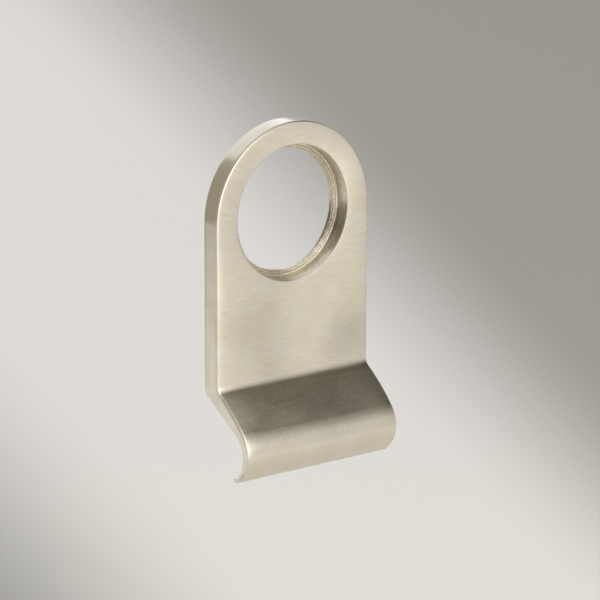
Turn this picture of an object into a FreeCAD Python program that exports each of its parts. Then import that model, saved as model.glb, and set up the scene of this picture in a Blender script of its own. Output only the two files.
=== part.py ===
import FreeCAD, Part
import math
import os
import Sketcher

# Cylinder pull for a front door: one brass casting, satin nickel plated.
# The plate lies flat on the door and rings the head of a rim lock cylinder,
# whose head bears on the thin lip at the back of the bore. Below the fold
# the plate turns out into an apron and curls into a nosing, and the fingers
# go in behind the nosing to pull the door shut.
# Frame: origin on the bore's axis in the back plane, +Z up. The front faces
# -Y, and +X is to the right of someone facing it.

# Driving dimensions, in millimetres, and one angle in degrees.
SIZES = [
    ("plate_width", 45.0, "width of the plate, and diameter of its arched top"),
    ("arch_drop", 0.4, "bore axis down to the centre of the arched top"),
    ("plate_thick", 5.3, "plate, front to back"),
    ("head_bore_dia", 33.0, "bore for the head of the lock cylinder"),
    ("lip_ledge", 1.625, "how far the lip stands in from the bore's wall"),
    ("lip_thick", 1.0, "lip, front to back"),
    ("fold_drop", 39.3, "bore axis down to where the front starts to turn out"),
    ("fold_radius", 2.2, "inside radius of the fold, at the front"),
    ("apron_crown", 51.0, "radius of the apron's slight outward bow"),
    ("nose_below_fold", 14.8, "start of the fold down to the front of the nosing"),
    ("nose_forward", 12.0, "front of the plate to the front of the nosing"),
    ("nose_radius", 7.9, "outer radius of the nosing"),
    ("nose_wall", 2.2, "wall at the front of the nosing"),
    ("grip_below_nose", 1.0, "front of the nosing down to the deepest of the grip"),
    ("grip_inset", 1.3, "how much smaller the grip's radius is than the nosing's"),
    ("grip_slope", 57.5, "angle of the apron's back, out from the plate"),
    ("back_radius", 2.5, "radius where the back leaves the door"),
    ("tail_setback", 1.9, "centre of the nosing forward to the tip of the tail"),
    ("tail_thick", 1.45, "height of the tail's tip"),
    ("tail_round", 0.5, "rounded edges of the tail's tip"),
    ("edge_round", 0.6, "softened front edges of the plate and the nosing"),
    ("bore_edge_round", 0.4, "softened front edge of the bore"),
]
STOCK = 2.0           # the section runs this far above the arch until it is trimmed
TOUCH = 1e-4          # how close counts as the same place
# The tail's tip is thin, so its rounding takes at most these shares: of the
# height that the softened ends leave, and of the radius of those ends.
TIP_SHARE, END_SHARE = 0.7, 0.9

os.makedirs("parts", exist_ok=True)
doc = FreeCAD.newDocument("cylinder_pull")

sizes = doc.addObject("Spreadsheet::Sheet", "sizes")
for row, (name, value, note) in enumerate(SIZES, start=1):
    sizes.set("A%d" % row, name)
    sizes.set("B%d" % row, str(value))
    sizes.set("C%d" % row, note)
    sizes.setAlias("B%d" % row, name)
doc.recompute()


def size(name):
    return float(getattr(sizes, name))


def origin_plane(body, role):
    return [item for item in body.Origin.OriginFeatures if item.Role == role][0]


def new_sketch(body, name, role):
    sketch = body.newObject("Sketcher::SketchObject", name)
    sketch.AttachmentSupport = [(origin_plane(body, role), "")]
    sketch.MapMode = "FlatFace"
    return sketch


def dimension(sketch, label, formula, *geometry):
    """Add a dimension to the sketch, name it and tie it to the sheet."""
    index = sketch.addConstraint(Sketcher.Constraint(*geometry))
    sketch.renameConstraint(index, label)
    sketch.setExpression("Constraints." + label, formula)


def spot(across, up):
    return FreeCAD.Vector(across, up, 0)


def line(first, last):
    return Part.LineSegment(first, last)


def arc(centre, radius, first, last):
    """An arc, counter-clockwise between two headings in radians."""
    return Part.ArcOfCircle(Part.Circle(centre, FreeCAD.Vector(0, 0, 1), radius), first, last)


def heading(centre, target):
    return math.atan2(target.y - centre.y, target.x - centre.x)


def step(angle):
    """The unit step along a heading."""
    return spot(math.cos(angle), math.sin(angle))


# A sketch's point positions and its fixed geometry.
START, END, CENTRE = 1, 2, 3
ORIGIN = (-1, 1)
UP_AXIS = -2


def section_shapes():
    """Outline of the side section, across = Y and up = Z, as named lines and arcs."""
    thick = size("plate_thick")
    top = size("plate_width") / 2 - size("arch_drop") + STOCK
    fold_radius, crown_radius = size("fold_radius"), size("apron_crown")
    nose_radius = size("nose_radius")
    grip_radius = nose_radius - size("grip_inset")
    back_radius = size("back_radius")
    slope = math.radians(size("grip_slope"))
    nose_front = thick + size("nose_forward")

    fold = spot(-thick - fold_radius, -size("fold_drop"))
    nose = spot(nose_radius - nose_front, fold.y - size("nose_below_fold"))
    # the apron's bow is tangent to the fold and to the nosing
    to_nose, to_fold = crown_radius - nose_radius, crown_radius + fold_radius
    span = fold - nose
    along = (to_nose ** 2 - to_fold ** 2 + span.Length ** 2) / (2 * span.Length)
    aside = math.sqrt(to_nose ** 2 - along ** 2)
    unit = span / span.Length
    crown = nose + unit * along + spot(unit.y, -unit.x) * aside
    # the nosing runs on below to the tip of the tail
    setback = size("tail_setback")
    tip = nose - spot(setback, math.sqrt(nose_radius ** 2 - setback ** 2))
    # the tail's upper side is level, and meets the grip at the throat
    upper_tip = tip + spot(0, size("tail_thick"))
    grip = spot(size("nose_wall") + grip_radius - nose_front, nose.y - size("grip_below_nose"))
    throat_down = grip.y - upper_tip.y
    throat = grip - spot(math.sqrt(grip_radius ** 2 - throat_down ** 2), throat_down)
    # the apron's back is tangent to the grip and to the turn behind the fold
    leave = grip + step(math.pi - slope) * grip_radius
    run = (-leave.x - back_radius * (1 - math.cos(slope))) / math.sin(slope)
    arrive = leave + step(math.pi / 2 - slope) * run
    turn = arrive - step(-slope) * back_radius

    return {
        "top": line(spot(0, top), spot(-thick, top)),
        "front": line(spot(-thick, top), spot(-thick, fold.y)),
        "fold": arc(fold, fold_radius, heading(fold, crown), 0),
        "apron": arc(crown, crown_radius, heading(crown, fold), heading(crown, nose)),
        "nose": arc(nose, nose_radius, heading(crown, nose), heading(nose, tip) + 2 * math.pi),
        "tip": line(tip, upper_tip),
        "tail": line(upper_tip, throat),
        "grip": arc(grip, grip_radius, math.pi - slope, heading(grip, throat) + 2 * math.pi),
        "slope": line(leave, arrive),
        "turn": arc(turn, back_radius, -slope, 0),
        "back": line(spot(0, turn.y), spot(0, top)),
    }


def draw_section(body):
    """The plate, fold, apron, nosing and tail, seen along X."""
    sketch = new_sketch(body, "side_section", "YZ_Plane")
    shapes = section_shapes()
    sketch.addGeometry(list(shapes.values()), False)
    at = {name: index for index, name in enumerate(shapes)}

    corners = [("top", END, "front", START), ("nose", END, "tip", START),
               ("tip", END, "tail", START), ("tail", END, "grip", END),
               ("back", END, "top", START)]
    blends = [("front", END, "fold", END), ("fold", START, "apron", START),
              ("apron", END, "nose", START), ("grip", START, "slope", START),
              ("slope", END, "turn", START), ("turn", END, "back", START)]
    for kind, joints in (("Coincident", corners), ("Tangent", blends)):
        for first, first_point, second, second_point in joints:
            sketch.addConstraint(
                Sketcher.Constraint(kind, at[first], first_point, at[second], second_point))
    sketch.addConstraint([
        Sketcher.Constraint("Horizontal", at["top"]),
        Sketcher.Constraint("Horizontal", at["tail"]),
        Sketcher.Constraint("Vertical", at["front"]),
        Sketcher.Constraint("Vertical", at["tip"]),
        Sketcher.Constraint("PointOnObject", at["back"], START, UP_AXIS),
        Sketcher.Constraint("PointOnObject", at["back"], END, UP_AXIS),
    ])

    def radius(name, label, formula=None):
        dimension(sketch, label, formula or "sizes." + label, "Radius", at[name],
                  shapes[name].Radius)

    def across(name, point, label, formula, value):
        """How far a point lies in front of the back plane."""
        dimension(sketch, label, formula, "DistanceX", at[name], point, *ORIGIN, value)

    def below(name, point, label, formula, value):
        """How far a point lies below the bore's axis."""
        dimension(sketch, label, formula, "DistanceY", at[name], point, *ORIGIN, value)

    grip_radius = "(sizes.nose_radius - sizes.grip_inset)"
    radius("fold", "fold_radius")
    radius("apron", "apron_crown")
    radius("nose", "nose_radius")
    radius("grip", "grip_radius", grip_radius)
    radius("turn", "back_radius")
    dimension(sketch, "blank_top", "sizes.plate_width / 2 - sizes.arch_drop + %g" % STOCK,
              "DistanceY", *ORIGIN, at["top"], START, shapes["top"].StartPoint.y)
    across("front", START, "plate_thick", "sizes.plate_thick", size("plate_thick"))
    below("front", END, "fold_drop", "sizes.fold_drop", size("fold_drop"))
    nose, grip = shapes["nose"].Center, shapes["grip"].Center
    front = "sizes.plate_thick + sizes.nose_forward"
    drop = "sizes.fold_drop + sizes.nose_below_fold"
    across("nose", CENTRE, "nose_centre", front + " - sizes.nose_radius", -nose.x)
    below("nose", CENTRE, "nose_drop", drop, -nose.y)
    across("grip", CENTRE, "grip_centre",
           front + " - sizes.nose_wall - " + grip_radius, -grip.x)
    below("grip", CENTRE, "grip_drop", drop + " + sizes.grip_below_nose", -grip.y)
    across("tip", START, "tail_tip", front + " - sizes.nose_radius + sizes.tail_setback",
           -shapes["tip"].StartPoint.x)
    dimension(sketch, "tail_thick", "sizes.tail_thick",
              "DistanceY", at["tip"], START, at["tip"], END, size("tail_thick"))
    dimension(sketch, "grip_slope", "90 - sizes.grip_slope",
              "Angle", at["slope"], math.pi / 2 - math.radians(size("grip_slope")))
    return sketch


def draw_arch_waste(body):
    """What lies outside the plate's arched top, seen from the front."""
    sketch = new_sketch(body, "arch_waste", "XZ_Plane")
    half, drop = size("plate_width") / 2, size("arch_drop")
    rim = half + 2 * STOCK
    stops = [spot(-half, -drop), spot(-rim, -drop), spot(-rim, rim),
             spot(rim, rim), spot(rim, -drop), spot(half, -drop)]
    arch, left_foot, left_side, lid, right_side, right_foot = range(len(stops))
    sketch.addGeometry([arc(spot(0, -drop), half, 0, math.pi)], False)
    sketch.addGeometry([line(*pair) for pair in zip(stops, stops[1:])], False)
    for index in range(len(stops)):
        following = (index + 1) % len(stops)
        sketch.addConstraint(Sketcher.Constraint("Coincident", index, END, following, START))
    sketch.addConstraint([
        Sketcher.Constraint("PointOnObject", arch, CENTRE, UP_AXIS),
        Sketcher.Constraint("Horizontal", arch, START, arch, CENTRE),
        Sketcher.Constraint("Horizontal", arch, END, arch, CENTRE),
        Sketcher.Constraint("Horizontal", left_foot),
        Sketcher.Constraint("Horizontal", right_foot),
        Sketcher.Constraint("Vertical", left_side),
        Sketcher.Constraint("Vertical", right_side),
        Sketcher.Constraint("Symmetric", lid, START, lid, END, UP_AXIS),
    ])
    dimension(sketch, "arch_radius", "sizes.plate_width / 2", "Radius", arch, half)
    dimension(sketch, "arch_drop", "sizes.arch_drop",
              "DistanceY", arch, CENTRE, *ORIGIN, drop)
    beyond = "sizes.plate_width / 2 + %g" % (2 * STOCK)
    dimension(sketch, "waste_top", beyond, "DistanceY", *ORIGIN, lid, END, rim)
    dimension(sketch, "waste_side", beyond, "DistanceX", *ORIGIN, lid, END, rim)
    return sketch


def draw_circle(body, name, diameter, formula):
    """A circle on the bore's axis."""
    sketch = new_sketch(body, name, "XZ_Plane")
    sketch.addGeometry(Part.Circle(spot(0, 0), FreeCAD.Vector(0, 0, 1), diameter / 2), False)
    sketch.addConstraint(Sketcher.Constraint("Coincident", 0, CENTRE, *ORIGIN))
    dimension(sketch, "across", formula, "Diameter", 0, diameter)
    return sketch


def cut(body, name, sketch, depth=None):
    """Pocket the sketch, right through both ways where no depth is given."""
    before = body.Shape.Volume
    pocket = body.newObject("PartDesign::Pocket", name)
    pocket.Profile = sketch
    if depth is None:
        pocket.SideType = "Symmetric"
        pocket.Type = "ThroughAll"
    else:
        pocket.Type = "Length"
        pocket.setExpression("Length", depth)
    sketch.Visibility = False
    doc.recompute()
    if body.Shape.Volume >= before - TOUCH:
        raise RuntimeError(name + " removes nothing")


def rounded(body, name, formula, wanted):
    """Fillet the edges of the body that the test picks."""
    base = body.Tip
    picked = ["Edge%d" % number for number, edge in enumerate(base.Shape.Edges, start=1)
              if wanted(edge)]
    fillet = body.newObject("PartDesign::Fillet", name)
    fillet.Base = (base, picked)
    fillet.setExpression("Radius", formula)
    doc.recompute()


def near(value, target):
    return abs(value - target) < TOUCH


def on_plane(edge, axis, place):
    """True where the whole edge lies at one place along an axis."""
    box = edge.BoundBox
    return (near(getattr(box, axis + "Min"), place)
            and near(getattr(box, axis + "Max"), place))


def is_front_edge(edge):
    """Edges of the front's outline: the arch, the sides and both ends of the nosing."""
    half, front = size("plate_width") / 2, -size("plate_thick")
    curve = edge.Curve
    round_one = isinstance(curve, Part.Circle)
    if on_plane(edge, "Y", front):
        arch = round_one and near(curve.Radius, half)
        return arch or on_plane(edge, "X", half) or on_plane(edge, "X", -half)
    at_end = on_plane(edge, "X", half) or on_plane(edge, "X", -half)
    outer = [shape for name, shape in section_shapes().items()
             if name in ("fold", "apron", "nose")]
    return at_end and round_one and any(
        near(curve.Radius, shape.Radius) and near(curve.Center.y, shape.Center.x)
        and near(curve.Center.z, shape.Center.y) for shape in outer)


def is_tail_edge(edge):
    """The long upper and lower edges of the tail's tip."""
    tip = section_shapes()["tip"].StartPoint.x
    return on_plane(edge, "Y", tip) and edge.BoundBox.XLength > size("plate_width") / 2


def is_bore_mouth(edge):
    curve = edge.Curve
    return (on_plane(edge, "Y", -size("plate_thick")) and isinstance(curve, Part.Circle)
            and near(curve.Radius, size("head_bore_dia") / 2))


def build_pull():
    body = doc.addObject("PartDesign::Body", "cylinder_pull_body")
    body.Label = "cylinder_pull"
    section = draw_section(body)
    doc.recompute()
    casting = body.newObject("PartDesign::Pad", "casting")
    casting.Profile = section
    casting.SideType = "Symmetric"
    casting.setExpression("Length", "sizes.plate_width")
    section.Visibility = False
    doc.recompute()
    cut(body, "arched_top", draw_arch_waste(body))
    head_dia = size("head_bore_dia")
    head_circle = draw_circle(body, "head_circle", head_dia, "sizes.head_bore_dia")
    head_circle.setExpression("AttachmentOffset.Base.z", "sizes.plate_thick")
    cut(body, "head_bore", head_circle, "sizes.plate_thick - sizes.lip_thick")
    lip_circle = draw_circle(body, "lip_circle", head_dia - 2 * size("lip_ledge"),
                             "sizes.head_bore_dia - 2 * sizes.lip_ledge")
    cut(body, "lip_bore", lip_circle)
    rounded(body, "bore_mouth", "sizes.bore_edge_round", is_bore_mouth)
    rounded(body, "front_edges", "sizes.edge_round", is_front_edge)
    tip_limits = "(sizes.tail_thick - sizes.edge_round) * %g; sizes.edge_round * %g" % (
        TIP_SHARE, END_SHARE)
    rounded(body, "tail_tip", "min(sizes.tail_round; " + tip_limits + ")", is_tail_edge)
    return body


pull = build_pull()
doc.recompute()

for item in doc.Objects:
    if "Invalid" in item.State or "Error" in item.State:
        raise RuntimeError(item.Name + " did not build")
for body in (pull,):
    shape = body.Shape
    if shape.isNull() or not shape.isValid() or len(shape.Solids) != 1:
        raise RuntimeError(body.Label + " is not one good solid")
    shape.exportStep("parts/" + body.Label + ".step")
    box = shape.optimalBoundingBox(False)
    print("%s: %.1f x %.1f x %.1f mm, %.0f cubic mm" % (
        body.Label, box.XLength, box.YLength, box.ZLength, shape.Volume))
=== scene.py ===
import math

import bmesh
import bpy
from mathutils import Matrix, Vector


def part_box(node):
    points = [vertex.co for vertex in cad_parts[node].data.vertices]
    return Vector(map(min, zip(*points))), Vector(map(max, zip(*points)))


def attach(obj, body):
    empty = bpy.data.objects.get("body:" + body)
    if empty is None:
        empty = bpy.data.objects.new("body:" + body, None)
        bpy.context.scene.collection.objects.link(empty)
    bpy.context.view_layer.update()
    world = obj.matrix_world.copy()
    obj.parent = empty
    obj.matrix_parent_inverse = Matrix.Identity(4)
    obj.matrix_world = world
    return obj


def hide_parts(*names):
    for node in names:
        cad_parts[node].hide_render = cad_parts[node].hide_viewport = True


# Cylinder pull in satin nickel: one casting, brushed across, with a rough cast lip in its bore.
# The pull's own sizes are in millimetres, and turned into metres as its mesh is made.

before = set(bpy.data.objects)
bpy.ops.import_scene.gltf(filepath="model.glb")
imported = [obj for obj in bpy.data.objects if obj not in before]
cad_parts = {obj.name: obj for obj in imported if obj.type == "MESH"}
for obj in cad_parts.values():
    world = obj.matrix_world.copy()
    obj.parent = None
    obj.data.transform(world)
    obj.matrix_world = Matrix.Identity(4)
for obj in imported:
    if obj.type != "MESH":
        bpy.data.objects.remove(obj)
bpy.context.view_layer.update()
pullNode = "cylinder_pull"
pullLow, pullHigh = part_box(pullNode)
mm = 0.001

# sizes of the casting; the overall ones are read from the frame
pull = {
    "halfWidth": pullHigh.x / mm,
    "archTop": pullHigh.z / mm,
    "noseFront": -pullLow.y / mm,
    "plateThick": 5.4,      # before its rims are buffed down
    "boreRadius": 16.5,
    "boreEdge": 0.30,       # softened mouth of the bore, which turns right into its wall
    "sharpEdge": 0.07,      # at its lower right it was left sharp
    "sharpToward": (0.7, -0.7),
    "sharpSpan": (0.35, 0.75),
    "rollEdge": 0.60,       # and at its lower left the face rolls in,
    "rollSweep": 34.0,      # by these degrees only
    "rollToward": (-0.5, -0.87),
    "rollSpan": (0.5, 0.85),
    "lipRadius": 14.875,
    "lipThick": 1.0,
    "foldDrop": 39.3,       # bore axis down to the start of the fold
    "foldRadius": 2.2,
    "crownRadius": 51.0,    # the apron's slight bow
    "noseDrop": 54.1,       # bore axis down to the front of the nosing
    "noseRadius": 7.9,
    "noseWall": 2.2,
    "gripDrop": 1.0,        # front of the nosing down to the deepest of the grip
    "gripInset": 1.3,       # the grip's radius is this much smaller than the nosing's
    "gripSlope": 57.5,      # the apron's back, out from the plate, in degrees
    "backRadius": 2.5,
    "tailSetback": 1.9,
    "tailThick": 1.45,
    "tailRound": 0.9,       # its lower corner, and the upper one
    "tailTop": 0.15,
    "frontEdge": 0.30,      # softened front edges
    "apronEdge": 0.45,      # the same beside the apron
    "apronSpan": (0.4, 0.0),   # it narrows along this share of the nosing,
    "tipSpan": (0.7, 1.0),     # and turns into the tip's edge along this one
    "tipEdge": 0.25,        # softened ends of the tail's tip
    "backEdge": 0.05,       # edges that were only filed
    "lean": 0.08,           # rise of the brushing across the plate, for each millimetre
    "leanFade": 5.0,        # below the split it starts to level out, and is level at the fold
    "sweep": 0.015,         # how the brushing bends down on the left of the arch
    "sweepStart": 8.0,
    "sweepSpan": (-16.0, 2.0),
    # how much cast skin is left, from 0 where the belt took it off to 1 where it never came; it also
    # sets how much painted shade darkens a place
    "apronSkin": 0.4,
    "apronSkinStart": (0.0, 0.12),   # shares of the way down the apron
    "apronSkinEnd": (1.0, 0.7),
    "wallSkin": 0.06,
    "boreSkin": (0.3, 0.6),
    "lipSkin": 1.0,
    "drawEnd": 2.5,         # drawing down fades out over this, at the nosing's end
}
# the lip's face from the bore's wall inwards: radius, height off the seat and cast skin, which also
# sets its painted shade, darker in the grooves than on the ridge
lipProfile = [
    (16.50, 0.32, 0.45), (16.42, 0.12, 0.6), (16.30, 0.00, 0.7), (16.18, -0.05, 0.8),
    (16.06, -0.06, 0.8), (15.96, -0.03, 0.8), (15.89, 0.04, 0.8), (15.83, 0.13, 0.7),
    (15.78, 0.18, 0.6), (15.73, 0.18, 0.6), (15.67, 0.12, 0.8), (15.60, 0.02, 1.0),
    (15.52, -0.06, 1.0), (15.42, -0.09, 1.0), (15.32, -0.07, 1.0), (15.22, -0.01, 1.0),
    (15.13, 0.05, 1.0), (15.03, 0.06, 1.0), (14.95, 0.03, 1.0), (14.90, -0.03, 1.0),
]
meshing = {
    "splitDrop": 26.0,      # below this the mesh is straight, above it goes round the bore
    "cell": 0.42,           # length of a cell along the outline
    "across": 106,          # cells across the width
    "edge": 7,              # cells round a softened edge
    "wall": 6,              # cells through the wall at the sides
    "face": 13,             # rings between the bore and the outline
    "faceSpread": 1.25,     # they are closer by the bore
    "fold": 12,
    "tip": 8,
    "straight": 2,          # cells along the tail's short straight runs
    "boreWall": 12,
    "lip": 5,
    "weld": 2e-4,           # places closer than this are one, in millimetres
    "weldSteps": 5,         # and between sheets, places within as many of these
    "leastCosine": 0.5,     # limits how far a corner's way out is lengthened
    "sharpest": 32,         # faces that meet at fewer degrees are shaded as one
    "unitLength": 100.0,    # millimetres to a UV unit
}
# what pastNose says above the fold's own section, and on walls and back
aboveNose = -90.0
offFront = -99.0
offFrontMargin = 0.5
# what mouthDistance says away from the bore
farFromMouth = 99.0


def unit(angle):
    return Vector((math.cos(angle), math.sin(angle)))


def heading(start, end):
    return math.atan2(end.y - start.y, end.x - start.x)


def fade(value, start, end):
    # 0 at start, 1 at end and smooth between, whichever of the two is larger
    share = min(1.0, max(0.0, (value - start) / (end - start)))
    return share * share * (3 - 2 * share)


# A station is a place on the side section, in (Y, Z), with the way out of the metal there.
def straightRun(start, end, out, cells):
    return [(start.lerp(end, i / cells), out) for i in range(cells + 1)]


def bentRun(centre, radius, first, last, side, cells):
    angles = [first + (last - first) * i / cells for i in range(cells + 1)]
    return [(centre + unit(angle) * radius, unit(angle) * side) for angle in angles]


def sectionRuns():
    # the same tangent arcs as the casting's own section, from the front's foot round to the back
    thick, cell = pull["plateThick"], meshing["cell"]
    fold = Vector((-thick - pull["foldRadius"], -pull["foldDrop"]))
    nose = Vector((pull["noseRadius"] - pull["noseFront"], -pull["noseDrop"]))
    toNose, toFold = pull["crownRadius"] - pull["noseRadius"], pull["crownRadius"] + pull["foldRadius"]
    span = fold - nose
    along = (toNose ** 2 - toFold ** 2 + span.length_squared) / (2 * span.length)
    aside = math.sqrt(toNose ** 2 - along ** 2)
    way = span.normalized()
    crown = nose + way * along + Vector((way.y, -way.x)) * aside

    tip = nose - Vector((pull["tailSetback"],
                         math.sqrt(pull["noseRadius"] ** 2 - pull["tailSetback"] ** 2)))
    upperTip = tip.y + pull["tailThick"]
    gripRadius = pull["noseRadius"] - pull["gripInset"]
    grip = Vector((pull["noseWall"] + gripRadius - pull["noseFront"], nose.y - pull["gripDrop"]))
    throatDown = grip.y - upperTip
    throat = Vector((grip.x - math.sqrt(gripRadius ** 2 - throatDown ** 2), upperTip))
    slope = math.radians(pull["gripSlope"])
    leave = grip + unit(math.pi - slope) * gripRadius
    run = (-leave.x - pull["backRadius"] * (1 - math.cos(slope))) / math.sin(slope)
    arrive = leave + unit(math.pi / 2 - slope) * run
    turn = arrive - unit(-slope) * pull["backRadius"]

    bead = pull["tailRound"]
    lowX = tip.x - bead
    low = Vector((lowX, nose.y - math.sqrt((pull["noseRadius"] - bead) ** 2 - (nose.x - lowX) ** 2)))
    high = Vector((tip.x - pull["tailTop"], upperTip - pull["tailTop"]))
    full = 2 * math.pi
    foot = -meshing["splitDrop"]

    # the front half and the back half have as many cells, so that the end faces close between them
    counts = {
        "plate": round((pull["foldDrop"] + foot) / cell),
        "fold": meshing["fold"],
        "apron": round(pull["crownRadius"] * (heading(crown, nose) - heading(crown, fold)) / cell),
        "nose": round(pull["noseRadius"] * (heading(nose, low) + full - heading(crown, nose)) / cell),
        "tip": meshing["tip"],
    }
    front = [
        ("plate", straightRun(Vector((-thick, foot)), Vector((-thick, fold.y)),
                              Vector((-1, 0)), counts["plate"])),
        ("fold", bentRun(fold, pull["foldRadius"], 0, heading(fold, crown), -1, counts["fold"])),
        ("apron", bentRun(crown, pull["crownRadius"], heading(crown, fold), heading(crown, nose),
                          1, counts["apron"])),
        ("nose", bentRun(nose, pull["noseRadius"], heading(crown, nose),
                         heading(nose, low) + full, 1, counts["nose"])),
        ("tip", bentRun(low, bead, heading(nose, low), 0, 1, counts["tip"])),
    ]
    back = [
        ("tip", straightRun(Vector((tip.x, low.y)), Vector((tip.x, high.y)), Vector((1, 0)),
                            meshing["straight"])),
        ("tip", bentRun(high, pull["tailTop"], 0, math.pi / 2, 1,
                        counts["tip"] - 2 * meshing["straight"])),
        ("tail", straightRun(Vector((high.x, upperTip)), throat, Vector((0, 1)),
                             meshing["straight"])),
        ("grip", bentRun(grip, gripRadius, heading(grip, throat) + full, math.pi - slope,
                         -1, counts["nose"])),
        ("slope", straightRun(leave, arrive, unit(-slope), counts["apron"])),
        ("turn", bentRun(turn, pull["backRadius"], -slope, 0, 1, counts["fold"])),
        ("back", straightRun(Vector((0, turn.y)), Vector((0, foot)), Vector((1, 0)),
                             counts["plate"])),
    ]
    return front, back


def edgeRadius(zone, share):
    # how far the ends are softened: most beside the apron, and hardly at the back
    front, apron = pull["frontEdge"], pull["apronEdge"]
    tip, back = pull["tipEdge"], pull["backEdge"]
    if zone == "fold":
        return front + (apron - front) * fade(share, 0, 1)
    if zone == "nose":
        return (front + (apron - front) * fade(share, *pull["apronSpan"])
                + (tip - front) * fade(share, *pull["tipSpan"]))
    if zone == "tail":
        return tip + (back - tip) * fade(share, 0, 1)
    return {"plate": front, "apron": apron, "tip": tip}.get(zone, back)


def joined(runs):
    # one list of stations: place, way out, softening, zone and length so far
    stations, length = [], 0.0
    for zone, run in runs:
        for i, (place, out) in enumerate(run):
            radius = edgeRadius(zone, i / (len(run) - 1))
            if stations and (place - stations[-1]["place"]).length < meshing["weld"]:
                old = stations[-1]
                middle = (old["out"] + out).normalized()
                # lengthened, so that an inner corner keeps its depth
                old["out"] = middle / max(meshing["leastCosine"], middle.dot(out))
                continue
            if stations:
                length += (place - stations[-1]["place"]).length
            stations.append({"place": place, "out": out, "edge": radius,
                             "zone": zone, "length": length})
    return stations


def newCast():
    return {"index": {}, "spots": [], "marks": [], "faces": [], "grain": []}


def addSheet(cast, places, grain, marks):
    # a sheet of quads; a place that an earlier sheet has is shared, so that sheets close up
    rows = []
    for line, lineMarks in zip(places, marks):
        row = []
        for place, mark in zip(line, lineMarks):
            key = tuple(round(value / meshing["weld"] / meshing["weldSteps"]) for value in place)
            if key not in cast["index"]:
                cast["index"][key] = len(cast["spots"])
                cast["spots"].append(place)
                cast["marks"].append(mark)
            row.append(cast["index"][key])
        rows.append(row)
    for i in range(len(rows) - 1):
        for j in range(len(rows[i]) - 1):
            corners = ((i, j), (i, j + 1), (i + 1, j + 1), (i + 1, j))
            face, faceGrain = [], []
            for a, b in corners:
                if rows[a][b] not in face:
                    face.append(rows[a][b])
                    faceGrain.append(grain[a][b])
            if len(face) > 2:
                cast["faces"].append(face)
                cast["grain"].extend(faceGrain)


def marked(rim=-1.0, mouth=farFromMouth, skin=0.0, past=offFront, way=(0.0, 0.0, 0.0)):
    # millimetres from the outline and from the bore's mouth, how much cast skin is left,
    # how far past the start of the nosing, and the way in, for the buffing
    return (rim, mouth, skin, past, *way)


def brushed(x, z):
    # where a place on the plate's front lies across the brushing
    bend = max(0.0, -x - pull["sweepStart"]) ** 2 * fade(z, *pull["sweepSpan"])
    return -pull["foldDrop"] - z + pull["lean"] * x + pull["sweep"] * bend


def castFoot(cast):
    # plate below the bore, fold, apron, nosing, tail and grip: the section carried across
    front, back = sectionRuns()
    frontHalf = joined(front)
    loop = joined(front + back)
    half, count = pull["halfWidth"], meshing["across"]
    shares = [2 * j / count - 1 for j in range(count + 1)]
    noseStart, *_, noseEnd = [station["length"] for station in loop if station["zone"] == "nose"]
    foldStart = pull["foldDrop"] - meshing["splitDrop"]
    apron = [station["length"] for station in loop if station["zone"] == "apron"]

    def marksOf(station, rim):
        if station["zone"] not in ("plate", "fold", "apron", "nose"):
            return marked()
        share = (station["length"] - apron[0]) / (noseStart - apron[0])
        skin = (pull["apronSkin"] * fade(share, *pull["apronSkinStart"])
                * fade(share, *pull["apronSkinEnd"]))
        drawn = fade(station["length"], noseEnd, noseEnd - pull["drawEnd"])
        return marked(rim=rim, skin=skin, past=station["length"] - noseStart,
                      way=(0.0, -station["out"].x * drawn, -station["out"].y * drawn))

    def grainOf(station, x):
        level = fade(station["length"], foldStart, pull["leanFade"])
        return x, station["length"] - foldStart + pull["lean"] * x * level

    places, grain, marks = [], [], []
    for station in loop:
        reach = half - station["edge"]
        places.append([(reach * share, station["place"].x, station["place"].y) for share in shares])
        grain.append([grainOf(station, reach * share) for share in shares])
        marks.append([marksOf(station, half - reach * abs(share)) for share in shares])
    addSheet(cast, places, grain, marks)

    for side in (-1, 1):
        places, grain, marks = [], [], []
        for station in loop:
            row, rowGrain, rowMarks = [], [], []
            for k in range(meshing["edge"] + 1):
                angle = math.pi / 2 * k / meshing["edge"]
                inward = station["place"] - station["out"] * station["edge"] * (1 - math.cos(angle))
                outward = half - station["edge"] * (1 - math.sin(angle))
                row.append((side * outward, inward.x, inward.y))
                rowGrain.append((station["length"] + meshing["splitDrop"], -station["edge"] * angle))
                rowMarks.append(marksOf(station, half - outward))
            places.append(row)
            grain.append(rowGrain)
            marks.append(rowMarks)
        addSheet(cast, places, grain, marks)

        middle = len(frontHalf) - 1
        last = len(loop) - 1
        places, grain, marks = [], [], []
        for i in range(middle + 1):
            outer, inner = loop[i], loop[last - i]
            start = outer["place"] - outer["out"] * outer["edge"]
            end = inner["place"] - inner["out"] * inner["edge"]
            line = [start.lerp(end, k / meshing["wall"]) for k in range(meshing["wall"] + 1)]
            places.append([(side * half, spot.x, spot.y) for spot in line])
            grain.append([(outer["length"] + meshing["splitDrop"],
                           -outer["edge"] * math.pi / 2 - (spot - start).length) for spot in line])
            marks.append([marked(skin=pull["wallSkin"]) for spot in line])
        addSheet(cast, places, grain, marks)


def outlineStations():
    # the arched outline seen from the front: places, each with its way out
    half, drop = pull["halfWidth"], pull["halfWidth"] - pull["archTop"]
    foot, cell = -meshing["splitDrop"], meshing["cell"]
    sideCells = round((meshing["splitDrop"] - drop) / cell)
    archCells = round(math.pi * half / cell)
    centre = Vector((0, -drop))
    stations = [(Vector((half, foot)).lerp(Vector((half, -drop)), i / sideCells), Vector((1, 0)))
                for i in range(sideCells)]
    stations += [(centre + unit(math.pi * i / archCells) * half, unit(math.pi * i / archCells))
                 for i in range(archCells + 1)]
    stations += [(Vector((-half, -drop)).lerp(Vector((-half, foot)), i / sideCells),
                  Vector((-1, 0))) for i in range(1, sideCells + 1)]
    return stations


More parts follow.
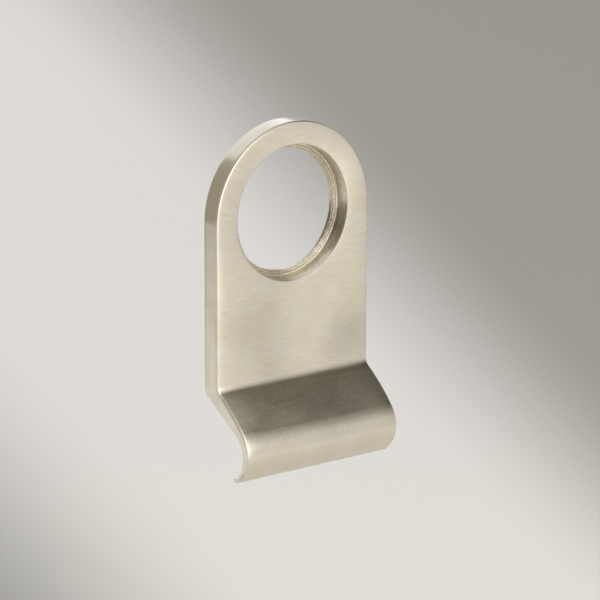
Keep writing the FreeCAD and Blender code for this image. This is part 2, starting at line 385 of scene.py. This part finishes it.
def castHead(cast):
    # plate round the bore, its outer edge, the bore and the lip
    half, thick = pull["halfWidth"], pull["plateThick"]
    foot, count = -meshing["splitDrop"], meshing["across"]
    outline = outlineStations()
    lengths = [0.0]
    for (first, _), (second, _) in zip(outline, outline[1:]):
        lengths.append(lengths[-1] + (second - first).length)
    footShares = [2 * j / count - 1 for j in range(1, count)]

    def ringRow(edge):
        # closed row along the outline, held in by the edge's width, and back along the foot
        row = [place - out * edge for place, out in outline]
        row += [Vector(((half - edge) * share, foot)) for share in footShares]
        return row + [row[0]]

    def around(row, radius):
        return [spot.normalized() * radius for spot in row]

    def mouthEdge(spot):
        # width of the mouth's softening, and how far it turns
        toward = spot.normalized()
        roll = fade(toward.dot(Vector(pull["rollToward"])), *pull["rollSpan"])
        sharp = fade(toward.dot(Vector(pull["sharpToward"])), *pull["sharpSpan"]) * (1 - roll)
        width = (pull["boreEdge"] + (pull["sharpEdge"] - pull["boreEdge"]) * sharp
                 + (pull["rollEdge"] - pull["boreEdge"]) * roll)
        return width, math.radians(90 + (pull["rollSweep"] - 90) * roll)

    def rimOf(spot):
        if spot.y > pull["archTop"] - half:
            return half - (spot - Vector((0, pull["archTop"] - half))).length
        return half - abs(spot.x)

    def frontMarks(spot, mouth):
        return marked(rim=rimOf(spot), mouth=mouth, past=aboveNose, way=(0.0, 1.0, 0.0))

    def face(y, edge, inner, marksOf):
        outer = ringRow(edge)
        places, grain, marks = [], [], []
        for k in range(meshing["face"] + 1):
            share = (k / meshing["face"]) ** meshing["faceSpread"]
            line = [a.lerp(b, share) for a, b in zip(inner, outer)]
            places.append([(spot.x, y, spot.y) for spot in line])
            grain.append([(spot.x, brushed(spot.x, spot.y)) for spot in line])
            marks.append([marksOf(spot, (spot - begun).length)
                          for spot, begun in zip(line, inner)])
        addSheet(cast, places, grain, marks)

    row = ringRow(pull["frontEdge"])
    mouth = [spot.normalized() * (pull["boreRadius"] + mouthEdge(spot)[0]) for spot in row]
    face(-thick, pull["frontEdge"], mouth, frontMarks)
    face(0.0, pull["backEdge"], around(row, pull["lipRadius"]), lambda spot, reach: marked())

    # outer side: softened front edge, wall, filed back edge
    places, grain, marks = [], [], []
    steps = []
    for k in range(meshing["edge"] + 1):
        angle = math.pi / 2 * k / meshing["edge"]
        steps.append((pull["frontEdge"] * (1 - math.sin(angle)),
                      -thick + pull["frontEdge"] * (1 - math.cos(angle))))
    wallFront, wallBack = -thick + pull["frontEdge"], -pull["backEdge"]
    steps += [(0.0, wallFront + (wallBack - wallFront) * k / meshing["wall"])
              for k in range(1, meshing["wall"])]
    for k in range(meshing["edge"] + 1):
        angle = math.pi / 2 * k / meshing["edge"]
        steps.append((pull["backEdge"] * (1 - math.cos(angle)),
                      -pull["backEdge"] * (1 - math.sin(angle))))
    for inset, y in steps:
        line = [place - out * inset for place, out in outline]
        places.append([(spot.x, y, spot.y) for spot in line])
        grain.append([(length, y) for length in lengths])
        if y <= wallFront:
            marks.append([frontMarks(spot, spot.length - pull["boreRadius"]) for spot in line])
        else:
            marks.append([marked(skin=pull["wallSkin"]) for spot in line])
    addSheet(cast, places, grain, marks)

    # bore: softened mouth, wall, the lip's face and its inner edge
    seatY = -pull["lipThick"]
    rings = [(k / meshing["edge"], 0.0, 0.0, 0.0) for k in range(meshing["edge"] + 1)]
    wallTop, wallFoot = -thick + pull["boreEdge"], seatY - lipProfile[0][1]
    skinTop, skinFoot = pull["boreSkin"]
    for k in range(1, meshing["boreWall"]):
        share = k / meshing["boreWall"]
        rings.append((None, pull["boreRadius"], wallTop + (wallFoot - wallTop) * share,
                      skinTop + (skinFoot - skinTop) * share))
    rings += [(None, radius, seatY - rise, skin) for radius, rise, skin in lipProfile]
    lipTop = seatY - lipProfile[-1][1]
    rings += [(None, pull["lipRadius"], lipTop * (1 - k / meshing["lip"]), pull["lipSkin"])
              for k in range(meshing["lip"] + 1)]
    turns = []
    for spot in row:
        angle = math.atan2(spot.y, spot.x)
        while turns and angle < turns[-1] - math.pi:
            angle += 2 * math.pi
        turns.append(angle)
    places, grain, marks = [], [], []
    for bend, radius, y, skin in rings:
        spots, ringMarks = [], []
        for spot in row:
            if bend is None:
                onRing = spot.normalized() * radius
                spots.append((onRing.x, y, onRing.y))
                ringMarks.append(marked(skin=skin))
                continue
            width, sweep = mouthEdge(spot)
            curve = width / math.sin(sweep)
            onRing = spot.normalized() * (pull["boreRadius"] + width - curve * math.sin(sweep * bend))
            spots.append((onRing.x, -thick + curve * (1 - math.cos(sweep * bend)), onRing.y))
            ringMarks.append(frontMarks(onRing, 0.0))
        places.append(spots)
        grain.append([(angle * pull["boreRadius"], y - radius) for angle in turns])
        marks.append(ringMarks)
    addSheet(cast, places, grain, marks)


def closedMesh(cast, name):
    mesh = bpy.data.meshes.new(name)
    mesh.from_pydata([tuple(value * mm for value in place) for place in cast["spots"]],
                     [], cast["faces"])
    grain = mesh.uv_layers.new(name="grain")
    grain.data.foreach_set("uv", [value / meshing["unitLength"]
                                  for pair in cast["grain"] for value in pair])
    for i, mark in enumerate(("rimDistance", "mouthDistance", "castSkin", "pastNose")):
        layer = mesh.attributes.new(mark, "FLOAT", "POINT")
        layer.data.foreach_set("value", [values[i] for values in cast["marks"]])
    ways = mesh.attributes.new("wayIn", "FLOAT_VECTOR", "POINT")
    ways.data.foreach_set("vector", [value for values in cast["marks"] for value in values[4:]])
    shape = bmesh.new()
    shape.from_mesh(mesh)
    bmesh.ops.remove_doubles(shape, verts=shape.verts,
                             dist=meshing["weld"] * meshing["weldSteps"] * mm)
    bmesh.ops.recalc_face_normals(shape, faces=shape.faces)
    openEdges = sum(not edge.is_manifold for edge in shape.edges)
    for edge in shape.edges:
        edge.smooth = edge.calc_face_angle(0) < math.radians(meshing["sharpest"])
    shape.to_mesh(mesh)
    shape.free()
    for polygon in mesh.polygons:
        polygon.use_smooth = True
    print("pull mesh:", len(mesh.polygons), "faces,", openEdges, "open edges")
    return mesh


cast = newCast()
castFoot(cast)
castHead(cast)
rawPull = bpy.data.objects.new("raw_pull", closedMesh(cast, "raw_pull"))
bpy.context.scene.collection.objects.link(rawPull)

# satin nickel: drawn across on a belt, wrapped round the nosing, left as cast in the lip
satin = {
    "colour": (0.66, 0.61, 0.526),
    "shadeColour": (0.60, 0.545, 0.43),   # where the plating took duller
    "brightest": (0.97, 0.95, 0.90),
    "roughness": 0.33,
    "wallRoughness": 0.20,   # sides and bore, which the belt only followed
    "roughnessSpread": 0.05,
    "anisotropy": 0.7,
    "turn": 0.25,            # of the anisotropy, so that it lies along the lines
    "cloud": 0.14,           # soft clouds in the plating, to a millimetre
    "cloudDetail": 3.0,
    "cloudRough": 0.55,
    "cloudSpan": (0.35, 0.7),
    "cloudShade": 0.4,
    "lineAcross": 5.5,       # belt lines to a millimetre
    "lineAlong": 0.22,
    "lineHeight": 0.0030,    # millimetres
    "lineTone": 0.42,        # how much lighter or darker a line is
    "strandAcross": 2.6,     # the coarser strands among them
    "strandAlong": 0.07,
    "strandHeight": 0.0020,
    "strandTone": 0.10,
    "strandRoughness": 0.08,
    # round the nosing, in millimetres past its start: a thing sets in over its Start span
    # and goes over its End span
    "wrapSpan": (1.2, 3.4),
    "wrapRagged": 2.6,
    "raggedAcross": 4.0,
    "raggedAlong": 0.5,
    "wrapHeight": -0.75,     # how much flatter and plainer the lines are there
    "wrapTone": -0.7,
    "bendStart": (-7.0, -2.0),   # and flatter where the reflection changes fast
    "bendEnd": (4.0, 1.0),
    "bendHeight": -0.5,
    "combStart": (-1.0, 1.5),    # fine ribs where the wrap starts
    "combEnd": (5.0, 1.5),
    "combAcross": 3.0,
    "combAlong": 0.25,
    "combTone": 0.30,
    "paintedShadeBandStart": (2.5, 4.5),     # a band of painted shade below them
    "paintedShadeBandEnd": (8.5, 6.0),
    "paintedShadeBandTone": -0.045,
    "dragStart": (-9.0, -4.0),   # long dark drags above them
    "dragEnd": (1.5, -0.5),
    "dragTone": 0.35,
    # where it is left as cast: rougher and duller, with bright grains in it; its darkening is partly
    # painted shade, and its bright grains are painted glints
    "speckle": 3.2,          # grains to a millimetre
    "speckleDetail": 2.0,
    "speckleRough": 0.6,
    "speckleHeight": 0.016,
    "speckleTone": 1.5,
    "mottle": 0.9,           # the slower patches in it
    "mottleTone": 0.5,
    "paintedGlint": (0.66, 0.74),   # painted glints on the brightest grains, as a span of the speckle's own value
    "paintedGlintTone": 1.6,
    "skinDull": 0.5,
    "skinRoughness": 0.20,
    "skinDullingAndPaintedShade": 0.50,
    "boreDullingAndPaintedShade": 0.10,       # the same in the bore and on the lip
    "boreSpan": (0.12, 0.28),    # a wall with this much skin is in the bore
    # painted light and shade: patches made lighter or darker where reflections are brighter or darker,
    # on the front and, apart, in the bore; x, z and reach in millimetres, and how much
    "paintedLightAndShade": ((16.0, 9.0, 12.0, 0.12), (17.0, -33.5, 12.5, -0.22), (-11.0, -27.0, 17.0, -0.17),
                (-6.0, -38.0, 9.0, -0.10), (4.0, -47.0, 12.0, -0.11), (-20.0, -44.0, 6.0, 0.30)),
    "borePaintedLightAndShade": ((14.0, -5.0, 8.5, -0.50), (-6.0, -15.0, 9.0, 0.22), (3.0, -16.5, 7.0, 0.28),
                    (5.0, 15.0, 9.0, 0.16)),
}


class NodeTools:
    # adds nodes to a tree; each short form gives back the node's output
    def __init__(self, tree):
        tree.nodes.clear()
        self.tree = tree

    def make(self, kind, inputs=None, **settings):
        node = self.tree.nodes.new(kind)
        for name, value in settings.items():
            setattr(node, name, value)
        for name, value in (inputs or {}).items():
            socket = node.inputs[name]
            if isinstance(value, bpy.types.NodeSocket):
                self.tree.links.new(value, socket)
            else:
                socket.default_value = value
        return node

    def calc(self, operation, a, b=0.0, c=0.0, clamp=False):
        return self.make("ShaderNodeMath", {0: a, 1: b, 2: c}, operation=operation,
                         use_clamp=clamp).outputs[0]

    def vector(self, operation, a, b=(0.0, 0.0, 0.0), output="Vector"):
        return self.make("ShaderNodeVectorMath", {0: a, 1: b},
                         operation=operation).outputs[output]

    def scaled(self, vector, scale):
        return self.make("ShaderNodeVectorMath", {0: vector, "Scale": scale},
                         operation="SCALE").outputs["Vector"]

    def span(self, value, low, high):
        # 0 at low, 1 at high and smooth between, whichever of the two is larger
        return self.make("ShaderNodeMapRange", {"Value": value, "From Min": low, "From Max": high},
                         interpolation_type="SMOOTHSTEP").outputs["Result"]

    def stretch(self, value, start, end):
        # sets in over the first span and ends over the second
        return self.calc("MULTIPLY", self.span(value, *start), self.span(value, *end))

    def blend(self, share, first, second):
        return self.make("ShaderNodeMix", {0: share, 2: first, 3: second}).outputs[0]

    def mixed(self, share, first, second):
        ends = [value if isinstance(value, bpy.types.NodeSocket) else (*value, 1)
                for value in (first, second)]
        return self.make("ShaderNodeMix", {0: share, 6: ends[0], 7: ends[1]},
                         data_type="RGBA").outputs[2]

    def noise(self, vector, scale, detail=2.0, rough=0.5):
        return self.make("ShaderNodeTexNoise", {"Vector": vector, "Scale": scale,
                                                "Detail": detail, "Roughness": rough}).outputs["Fac"]

    def centred(self, value):
        return self.calc("SUBTRACT", value, 0.5)


def satinNickel():
    material = bpy.data.materials.new("satinNickel")
    material.use_nodes = True
    nodes = NodeTools(material.node_tree)
    grain = nodes.make("ShaderNodeUVMap", uv_map="grain").outputs["UV"]
    place = nodes.make("ShaderNodeTexCoord").outputs["Object"]
    skin = nodes.make("ShaderNodeAttribute", attribute_name="castSkin").outputs["Fac"]
    pastNose = nodes.make("ShaderNodeAttribute", attribute_name="pastNose").outputs["Fac"]

    def lines(name, turned=False, detail=2.0):
        along, across = satin[name + "Along"], satin[name + "Across"]
        scale = (across, along, 1.0) if turned else (along, across, 1.0)
        scaled = nodes.vector("MULTIPLY", grain,
                              tuple(meshing["unitLength"] * value for value in scale))
        return nodes.noise(scaled, 1.0, detail)

    def added(tone, what, amount):
        return nodes.calc("MULTIPLY_ADD", what, amount, tone)

    # the belt's lines run across the front, and round the nosing below a ragged border
    ragged = added(-satin["wrapRagged"], lines("ragged", turned=True), satin["wrapRagged"] * 2)
    wrap = nodes.span(nodes.calc("ADD", pastNose, ragged), *satin["wrapSpan"])
    fine = nodes.blend(wrap, lines("line"), lines("line", turned=True))
    strands = nodes.blend(wrap, lines("strand"), lines("strand", turned=True))
    speckle = nodes.noise(place, satin["speckle"] / mm, satin["speckleDetail"],
                          satin["speckleRough"])
    buffed = nodes.calc("SUBTRACT", 1.0, skin, clamp=True)
    height = added(nodes.calc("MULTIPLY", fine, satin["lineHeight"]), strands, satin["strandHeight"])
    height = nodes.calc("MULTIPLY", height, buffed)
    bend = nodes.stretch(pastNose, satin["bendStart"], satin["bendEnd"])
    flatter = added(1.0, bend, satin["bendHeight"])
    flatter = nodes.calc("MULTIPLY_ADD", wrap, satin["wrapHeight"], flatter, clamp=True)
    height = nodes.calc("MULTIPLY", height, flatter)
    height = added(height, nodes.calc("MULTIPLY", speckle, skin), satin["speckleHeight"])
    bump = nodes.make("ShaderNodeBump", {"Height": height, "Strength": 1.0, "Distance": mm})

    clouds = nodes.noise(place, satin["cloud"] / mm, satin["cloudDetail"], satin["cloudRough"])
    clouds = nodes.span(clouds, *satin["cloudSpan"])
    dull = nodes.calc("MULTIPLY", clouds, satin["cloudShade"])
    dull = nodes.calc("MULTIPLY_ADD", skin, satin["skinDull"], dull, clamp=True)
    colour = nodes.mixed(dull, satin["colour"], satin["shadeColour"])

    # tone of the lines: plainer on the nosing, but for the comb of ribs at its start
    drags = nodes.stretch(pastNose, satin["dragStart"], satin["dragEnd"])
    comb = nodes.stretch(pastNose, satin["combStart"], satin["combEnd"])
    # painted shade: a darker band along the nosing
    paintedShadeBand = nodes.stretch(pastNose, satin["paintedShadeBandStart"], satin["paintedShadeBandEnd"])
    lineTone = added(satin["lineTone"], wrap, satin["lineTone"] * satin["wrapTone"])
    strandTone = added(satin["strandTone"], wrap, -satin["strandTone"])
    strandTone = added(strandTone, drags, satin["dragTone"])
    tone = nodes.calc("MULTIPLY", nodes.centred(strands), strandTone)
    tone = added(tone, nodes.centred(fine), lineTone)
    tone = added(tone, paintedShadeBand, satin["paintedShadeBandTone"])
    ribs = nodes.centred(lines("comb", turned=True, detail=0.0))
    tone = added(tone, ribs, nodes.calc("MULTIPLY", comb, satin["combTone"]))
    onWall = nodes.calc("LESS_THAN", pastNose, offFront + offFrontMargin)
    tone = nodes.calc("MULTIPLY", tone, nodes.calc("SUBTRACT", buffed, onWall, clamp=True))

    # tone of the cast skin: grain and mottle, darkening that is partly painted shade, and painted
    # glints
    skinGrainAndPaintedLight = added(-satin["skinDullingAndPaintedShade"], onWall, satin["skinDullingAndPaintedShade"] - satin["boreDullingAndPaintedShade"])
    # painted highlights: the brightest grains are lightened as glints
    skinGrainAndPaintedLight = added(skinGrainAndPaintedLight, nodes.span(speckle, *satin["paintedGlint"]), satin["paintedGlintTone"])
    skinGrainAndPaintedLight = added(skinGrainAndPaintedLight, nodes.centred(speckle), satin["speckleTone"])
    skinGrainAndPaintedLight = added(skinGrainAndPaintedLight, nodes.centred(nodes.noise(place, satin["mottle"] / mm)), satin["mottleTone"])
    tone = nodes.calc("ADD", added(tone, skinGrainAndPaintedLight, skin), 1.0)
    onFront = nodes.calc("SUBTRACT", 1.0, onWall)
    inBore = nodes.calc("MULTIPLY", onWall, nodes.span(skin, *satin["boreSpan"]))
    # painted light and shade: each patch lightens or darkens the colour around its place
    flat = nodes.vector("MULTIPLY", place, (1.0, 0.0, 1.0))
    for paintedLightAndShade, where in ((satin["paintedLightAndShade"], onFront), (satin["borePaintedLightAndShade"], inBore)):
        for x, z, reach, change in paintedLightAndShade:
            away = nodes.vector("DISTANCE", flat, (x * mm, 0.0, z * mm), "Value")
            tone = added(tone, nodes.span(away, reach * mm, 0.0), nodes.calc("MULTIPLY", where, change))
    colour = nodes.vector("MINIMUM", nodes.scaled(colour, tone), satin["brightest"])

    roughness = satin["roughness"] - satin["roughnessSpread"] / 2
    roughness = added(roughness, clouds, satin["roughnessSpread"])
    roughness = added(roughness, nodes.centred(strands), satin["strandRoughness"])
    roughness = added(roughness, onWall, satin["wallRoughness"] - satin["roughness"])
    roughness = added(roughness, skin, satin["skinRoughness"])
    along = nodes.make("ShaderNodeTangent", direction_type="UV_MAP", uv_map="grain")
    shader = nodes.make("ShaderNodeBsdfPrincipled", {
        "Base Color": colour, "Metallic": 1.0, "Roughness": roughness,
        "Anisotropic": satin["anisotropy"], "Anisotropic Rotation": satin["turn"],
        "Tangent": along.outputs["Tangent"],
        "Normal": bump.outputs["Normal"],
    })
    nodes.make("ShaderNodeOutputMaterial", {"Surface": shader.outputs["BSDF"]})
    return material


# what casting and hand buffing leave: rims drawn down a little, slow waves, a granular skin
finish = {
    "Material": satinNickel(),
    "Rim Depth": 0.20 * mm,
    "Rim Reach": 1.5,        # millimetres in from the outline
    "Mouth Depth": 0.20 * mm,
    "Mouth Reach": 2.4,      # the same from the bore's mouth
    "Wave Height": 0.02 * mm,
    "Wave Size": 11.0 * mm,
    "Wave Detail": 1.0,
    "Skin Height": 0.03 * mm,
    "Skin Size": 0.45 * mm,
    "Skin Detail": 3.0,
    "Seed": 7.0,
}


def finishTree():
    tree = bpy.data.node_groups.new("buffAndCast", "GeometryNodeTree")
    interface = tree.interface
    interface.new_socket("Geometry", in_out="INPUT", socket_type="NodeSocketGeometry")
    interface.new_socket("Material", in_out="INPUT", socket_type="NodeSocketMaterial")
    for name in list(finish)[1:]:
        interface.new_socket(name, in_out="INPUT", socket_type="NodeSocketFloat")
    interface.new_socket("Geometry", in_out="OUTPUT", socket_type="NodeSocketGeometry")
    nodes = NodeTools(tree)
    given = nodes.make("NodeGroupInput").outputs

    def named(name, kind="FLOAT"):
        stored = nodes.make("GeometryNodeInputNamedAttribute", {"Name": name}, data_type=kind)
        return stored.outputs["Attribute"]

    def drawnDown(distance, what):
        # steepest at the edge itself, and gone a few reaches in
        reaches = nodes.calc("DIVIDE", named(distance), given[what + " Reach"])
        fading = nodes.calc("EXPONENT", nodes.calc("MULTIPLY", reaches, -1.0))
        return nodes.calc("MULTIPLY", fading, given[what + " Depth"])

    seed = nodes.make("ShaderNodeCombineXYZ", {i: given["Seed"] for i in range(3)}).outputs[0]
    seeded = nodes.vector("ADD", nodes.make("GeometryNodeInputPosition").outputs["Position"], seed)

    def relief(what):
        scale = nodes.calc("DIVIDE", 1.0, given[what + " Size"])
        rise = nodes.noise(seeded, scale, given[what + " Detail"])
        return nodes.calc("MULTIPLY", rise, given[what + " Height"])

    drawn = nodes.calc("ADD", drawnDown("rimDistance", "Rim"), drawnDown("mouthDistance", "Mouth"))
    pressed = nodes.scaled(named("wayIn", "FLOAT_VECTOR"), nodes.calc("ADD", drawn, relief("Wave")))
    sunk = nodes.calc("MULTIPLY", relief("Skin"), nodes.calc("MULTIPLY", named("castSkin"), -1.0))
    normal = nodes.make("GeometryNodeInputNormal").outputs["Normal"]
    inward = nodes.vector("ADD", pressed, nodes.scaled(normal, sunk))
    moved = nodes.make("GeometryNodeSetPosition", {"Geometry": given["Geometry"], "Offset": inward})
    realized = nodes.make("GeometryNodeRealizeInstances", {"Geometry": moved.outputs["Geometry"]})
    dressed = nodes.make("GeometryNodeSetMaterial", {"Geometry": realized.outputs["Geometry"],
                                                     "Material": given["Material"]})
    nodes.make("NodeGroupOutput", {"Geometry": dressed.outputs["Geometry"]})
    return tree


modifier = rawPull.modifiers.new("buffAndCast", "NODES")
tree = finishTree()
modifier.node_group = tree
for item in tree.interface.items_tree:
    if item.in_out == "INPUT" and item.name in finish:
        modifier[item.identifier] = finish[item.name]
ready = rawPull.evaluated_get(bpy.context.evaluated_depsgraph_get())
pullMesh = bpy.data.meshes.new_from_object(ready)
rawPull.modifiers.remove(modifier)
bpy.data.objects.remove(rawPull)
pullPiece = bpy.data.objects.new("satin_pull", pullMesh)
bpy.context.scene.collection.objects.link(pullPiece)
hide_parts(pullNode)
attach(pullPiece, "root")
print("pull finished:", len(pullMesh.polygons), "faces")

# camera where the photograph was taken from, turned about the bore's centre
photoView = {
    "azimuth": 37.67,
    "elevation": 14.97,
    "roll": 0.15,
    "distance": 870.0,       # millimetres
    "lens": 218.54,
    "across": 4.69,
    "up": -21.88,
    "clip": 50.0,            # metres
}


def photoCamera():
    azimuth, elevation, roll = (math.radians(photoView[name])
                                for name in ("azimuth", "elevation", "roll"))
    level = math.cos(elevation)
    back = Vector((-math.sin(azimuth) * level, -math.cos(azimuth) * level, math.sin(elevation)))
    across = Vector((0, 0, 1)).cross(back).normalized()
    up = back.cross(across)
    turned = across * math.cos(roll) + up * math.sin(roll)
    raised = up * math.cos(roll) - across * math.sin(roll)
    place = back * photoView["distance"] + turned * photoView["across"] + raised * photoView["up"]
    camera = bpy.data.cameras.new("photoCamera")
    camera.lens = photoView["lens"]
    camera.clip_end = photoView["clip"]
    cameraObject = bpy.data.objects.new("photoCamera", camera)
    cameraObject.matrix_world = Matrix.LocRotScale(
        place * mm, Matrix((turned, raised, back)).transposed(), None)
    bpy.context.scene.collection.objects.link(cameraObject)
    bpy.context.scene.camera = cameraObject


photoCamera()
print("camera placed")

# pale floor, seen through from below; its far side falls off into the room, in metres. Its light and
# shade are painted into its colour: darker close to the pull, further behind it, in a fanned band and
# away from the lit strip
floor = {
    "drop": 0.25,
    "reach": 2.1,
    "sides": 96,
    "nearPaintedShade": (0.60, 0.585, 0.54),
    "colour": (0.87, 0.87, 0.86),
    "farPaintedShade": (0.605, 0.585, 0.575),
    "shade": (0.38, 0.36, 0.32),
    "rightShade": (0.285, 0.275, 0.252),
    "leftShade": (0.25, 0.245, 0.235),
    "litStrip": (-1.0, 0.9),      # the lit strip runs from in front of the pull to behind it
    "nearSpan": (0.25, 0.75),     # colours change over these distances from the strip,
    "farSpan": (0.2, 0.8),        # behind the pull
    "fadeSpan": (0.92, 1.26),     # and from the strip again
    "fanFoot": (0.470, -0.968),   # beside and behind the pull: the band fans out from here
    "fanNear": 0.1,
    "rightSlants": (-0.262, -0.190),    # its slants where the band dims
    "leftSlants": (-0.338, -0.440),
    "fanStart": (0.15, 0.42),
}


def paleFloor():
    shape = bmesh.new()
    bmesh.ops.create_circle(shape, cap_ends=True, segments=floor["sides"], radius=floor["reach"],
                            matrix=Matrix.Translation((0, 0, -floor["drop"])))
    mesh = bpy.data.meshes.new("pale_floor")
    shape.to_mesh(mesh)
    shape.free()
    material = bpy.data.materials.new("palePaperPaintedShade")
    material.use_nodes = True
    nodes = NodeTools(material.node_tree)

    # behind and beside are counted from the camera's side of the pull
    azimuth = math.radians(photoView["azimuth"])
    away = (math.sin(azimuth), math.cos(azimuth), 0)
    aside = (math.cos(azimuth), -math.sin(azimuth), 0)
    flat = nodes.vector("MULTIPLY", nodes.make("ShaderNodeTexCoord").outputs["Object"], (1, 1, 0))
    behind = nodes.vector("DOT_PRODUCT", flat, away, "Value")
    beside = nodes.vector("DOT_PRODUCT", flat, aside, "Value")
    stripStart, stripEnd = floor["litStrip"]
    strip = nodes.make("ShaderNodeClamp", {0: behind, 1: stripStart, 2: stripEnd}).outputs[0]
    off = nodes.vector("SUBTRACT", flat, nodes.scaled(away, strip))
    off = nodes.vector("LENGTH", off, output="Value")
    footBeside, footBehind = floor["fanFoot"]
    back = nodes.calc("MAXIMUM", nodes.calc("SUBTRACT", behind, footBehind), floor["fanNear"])
    slant = nodes.calc("DIVIDE", nodes.calc("SUBTRACT", beside, footBeside), back)
    onBand = nodes.span(behind, *floor["fanStart"])
    # painted shade: the floor's colour darkens near the pull, behind it, in the fanned band and away
    # from the lit strip
    lit = nodes.mixed(nodes.span(off, *floor["nearSpan"]), floor["nearPaintedShade"], floor["colour"])
    lit = nodes.mixed(nodes.span(behind, *floor["farSpan"]), lit, floor["farPaintedShade"])
    for side in ("right", "left"):
        slants, shade = floor[side + "Slants"], floor[side + "Shade"]
        lit = nodes.mixed(nodes.calc("MULTIPLY", onBand, nodes.span(slant, *slants)), lit, shade)
    lit = nodes.mixed(nodes.span(off, *floor["fadeSpan"]), lit, floor["shade"])
    paper = nodes.make("ShaderNodeBsdfDiffuse", {"Color": lit})
    clear = nodes.make("ShaderNodeBsdfTransparent")
    under = nodes.make("ShaderNodeNewGeometry").outputs["Backfacing"]
    surface = nodes.make("ShaderNodeMixShader", {0: under, 1: paper.outputs[0], 2: clear.outputs[0]})
    nodes.make("ShaderNodeOutputMaterial", {"Surface": surface.outputs[0]})
    mesh.materials.append(material)
    piece = bpy.data.objects.new("pale_floor", mesh)
    bpy.context.scene.collection.objects.link(piece)


paleFloor()
print("floor laid")

# studio light: a soft overhead and softboxes; directions are from the bore, sizes in metres
lamps = {
    "overhead": {"strength": 1.8, "spread": 45.0},
    "rightStrip": {"toward": (0.66, -0.75, 0.04), "away": 0.80, "size": (0.62, 0.28),
                   "radiance": 0.28, "colour": (1.0, 0.985, 0.95)},
    "leftSoftbox": {"toward": (-0.22, -0.82, 0.53), "away": 1.5, "size": (3.3, 1.95),
                    "radiance": 0.75, "colour": (1.0, 0.99, 0.97)},
    "leftWing": {"toward": (-0.44, -0.87, 0.22), "away": 0.68, "size": (1.75, 0.82),
                 "radiance": 0.90, "colour": (1.0, 0.99, 0.98)},
    "leftHigh": {"toward": (-0.50, -0.32, 0.82), "away": 1.5, "size": (2.0, 1.3),
                 "radiance": 0.60, "colour": (1.0, 0.99, 0.98)},
    "backSoftbox": {"toward": (0.190, 0.786, 0.588), "away": 2.2, "size": (2.2, 1.95),
                    "radiance": 1.1, "colour": (0.92, 0.96, 1.0)},
}
room = {
    "wall": (0.62, 0.61, 0.58),
    "ceiling": (0.075, 0.066, 0.042),
    "ceilingSpan": (0.12, 0.62),           # as sines of the elevation
    "skylight": (0.60, 0.60, 0.58),
    "skylightSpan": (0.90, 0.97),
    "curtain": (0.44, 0.41, 0.335),        # a darker stretch behind on the left
    "curtainToward": (-0.56, 0.74, 0.20),
    "curtainSpan": (0.82, 0.93),           # as cosines of the angle away from its middle
}


def softbox(name):
    lamp = lamps[name]
    light = bpy.data.lights.new(name, "AREA")
    light.shape = "RECTANGLE"
    light.size, light.size_y = lamp["size"]
    light.energy = lamp["radiance"] * math.pi * light.size * light.size_y
    light.color = lamp["colour"]
    lightObject = bpy.data.objects.new(name, light)
    toward = Vector(lamp["toward"]).normalized()
    lightObject.location = toward * lamp["away"]
    lightObject.rotation_euler = toward.to_track_quat("Z", "Y").to_euler()
    lightObject.visible_camera = False
    bpy.context.scene.collection.objects.link(lightObject)


for name in list(lamps)[1:]:
    softbox(name)
overhead = bpy.data.lights.new("overhead", "SUN")
overhead.energy = lamps["overhead"]["strength"]
overhead.angle = math.radians(lamps["overhead"]["spread"])
overheadObject = bpy.data.objects.new("overhead", overhead)
overheadObject.visible_glossy = False      # the skylight in the room stands for it there
bpy.context.scene.collection.objects.link(overheadObject)


def studioRoom():
    world = bpy.data.worlds.new("studioRoom")
    world.use_nodes = True
    nodes = NodeTools(world.node_tree)
    way = nodes.make("ShaderNodeTexCoord").outputs["Generated"]
    rise = nodes.make("ShaderNodeSeparateXYZ", {0: way}).outputs["Z"]
    colour = nodes.mixed(nodes.span(rise, *room["ceilingSpan"]), room["wall"], room["ceiling"])
    colour = nodes.mixed(nodes.span(rise, *room["skylightSpan"]), colour, room["skylight"])
    near = nodes.vector("DOT_PRODUCT", way, Vector(room["curtainToward"]).normalized(), "Value")
    colour = nodes.mixed(nodes.span(near, *room["curtainSpan"]), colour, room["curtain"])
    glow = nodes.make("ShaderNodeBackground", {"Color": colour, "Strength": 1.0})
    nodes.make("ShaderNodeOutputWorld", {"Surface": glow.outputs[0]})
    bpy.context.scene.world = world


studioRoom()
bpy.context.scene.view_settings.view_transform = "Standard"

print("studio ready")
